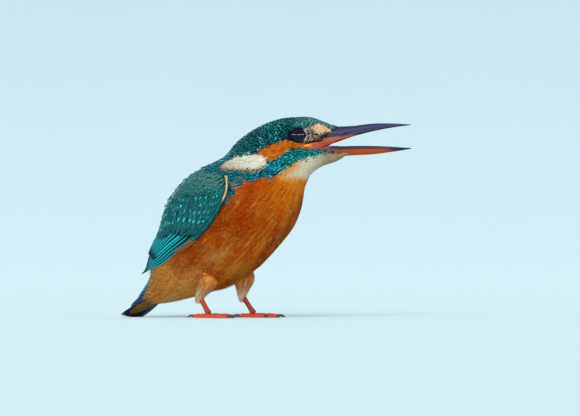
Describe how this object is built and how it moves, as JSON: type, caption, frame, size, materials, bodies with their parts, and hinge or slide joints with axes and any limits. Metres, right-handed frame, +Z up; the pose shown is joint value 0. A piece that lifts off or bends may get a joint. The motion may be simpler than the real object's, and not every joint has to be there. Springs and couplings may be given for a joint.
{
  "type": "kingfisher",
  "caption": "Life-size model of a small kingfisher perched upright on a level floor, bill open, wings folded, tail laid back to the floor.",
  "frame": {"origin": "centre of the base of the bounding box, on the floor between and behind the feet", "axes": "+Z up, +X the way the bill points, +Y to the bird's left"},
  "size_m": [0.1428, 0.0514, 0.0979],
  "materials": {
    "feathers": "soft, with a silky sheen",
    "belly_feathers": "soft and matt",
    "bill_black": "satin horn",
    "bill_orange": "satin horn",
    "eye": "wet gloss",
    "leg_skin": "scaled, satin",
    "claw": "satin horn"
  },
  "bodies": {
    "root": {"head": "feathers", "neck": "feathers", "trunk": "belly_feathers", "wing_left": "feathers", "wing_right": "feathers", "tail": "feathers", "thigh_left": "belly_feathers", "thigh_right": "belly_feathers", "upper_mandible": "bill_black", "lower_mandible": "bill_orange", "eye_left": "eye", "eye_right": "eye", "tarsus_left": "leg_skin", "tarsus_right": "leg_skin", "toe_1_left": "leg_skin", "toe_2_left": "leg_skin", "toe_3_left": "leg_skin", "toe_4_left": "leg_skin", "toe_1_right": "leg_skin", "toe_2_right": "leg_skin", "toe_3_right": "leg_skin", "toe_4_right": "leg_skin", "claw_1_left": "claw", "claw_2_left": "claw", "claw_3_left": "claw", "claw_4_left": "claw", "claw_1_right": "claw", "claw_2_right": "claw", "claw_3_right": "claw", "claw_4_right": "claw"}
  },
  "joints": []
}
